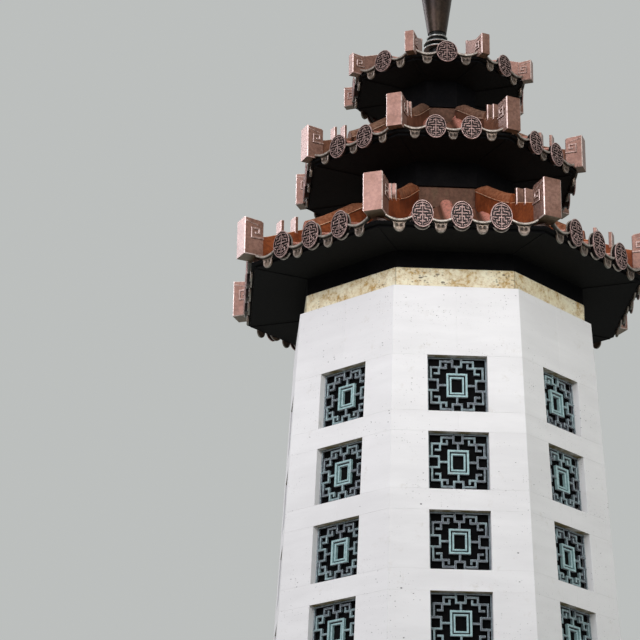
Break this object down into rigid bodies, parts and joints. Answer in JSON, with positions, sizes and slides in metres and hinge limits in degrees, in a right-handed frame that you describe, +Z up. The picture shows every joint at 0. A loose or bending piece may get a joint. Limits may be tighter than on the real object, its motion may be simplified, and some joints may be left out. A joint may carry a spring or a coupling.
{
  "type": "octagonal memorial pagoda",
  "caption": "Slender octagonal pagoda: tapering marble shaft with columns of fret grilles, stained stone band, tiered bronze roofs with tile ends, and a finial.",
  "frame": {"origin": "centre of the underside of the lowest step, on the floor", "axes": "+Z up along the pagoda's axis, -Y out of the front face"},
  "size_m": [1.18, 1.18, 3.6],
  "materials": {
    "marble": "pale honed marble with small pits",
    "band_stone": "cream stone with ochre and brown stains",
    "core": "dark matt",
    "verdigris": "cast bronze with a pale green patina",
    "bronze": "red-brown cast bronze",
    "pale_bronze": "mauve-grey and olive cast bronze",
    "dark_bronze": "near-black bronze"
  },
  "bodies": {
    "root": {"eave_tiles_low": "pale_bronze", "eave_tiles_middle": "pale_bronze", "eave_tiles_top": "pale_bronze", "finial_bud": "bronze", "finial_post": "bronze", "finial_rings": "dark_bronze", "frieze_low": "dark_bronze", "frieze_middle": "dark_bronze", "frieze_top": "dark_bronze", "grilles_1": "verdigris", "grilles_2": "verdigris", "grilles_3": "verdigris", "grilles_4": "verdigris", "grilles_5": "verdigris", "grilles_6": "verdigris", "grilles_7": "verdigris", "grilles_8": "verdigris", "lower_step": "marble", "masonry_core": "core", "pedestal": "marble", "ridges_low": "bronze", "ridges_middle": "bronze", "ridges_top": "bronze", "roof_low": "bronze", "roof_middle": "bronze", "roof_top": "bronze", "soffit_low": "dark_bronze", "soffit_middle": "dark_bronze", "soffit_top": "dark_bronze", "stone_band": "band_stone", "upper_step": "marble", "wall_face_1": "marble", "wall_face_2": "marble", "wall_face_3": "marble", "wall_face_4": "marble", "wall_face_5": "marble", "wall_face_6": "marble", "wall_face_7": "marble", "wall_face_8": "marble"}
  },
  "joints": []
}
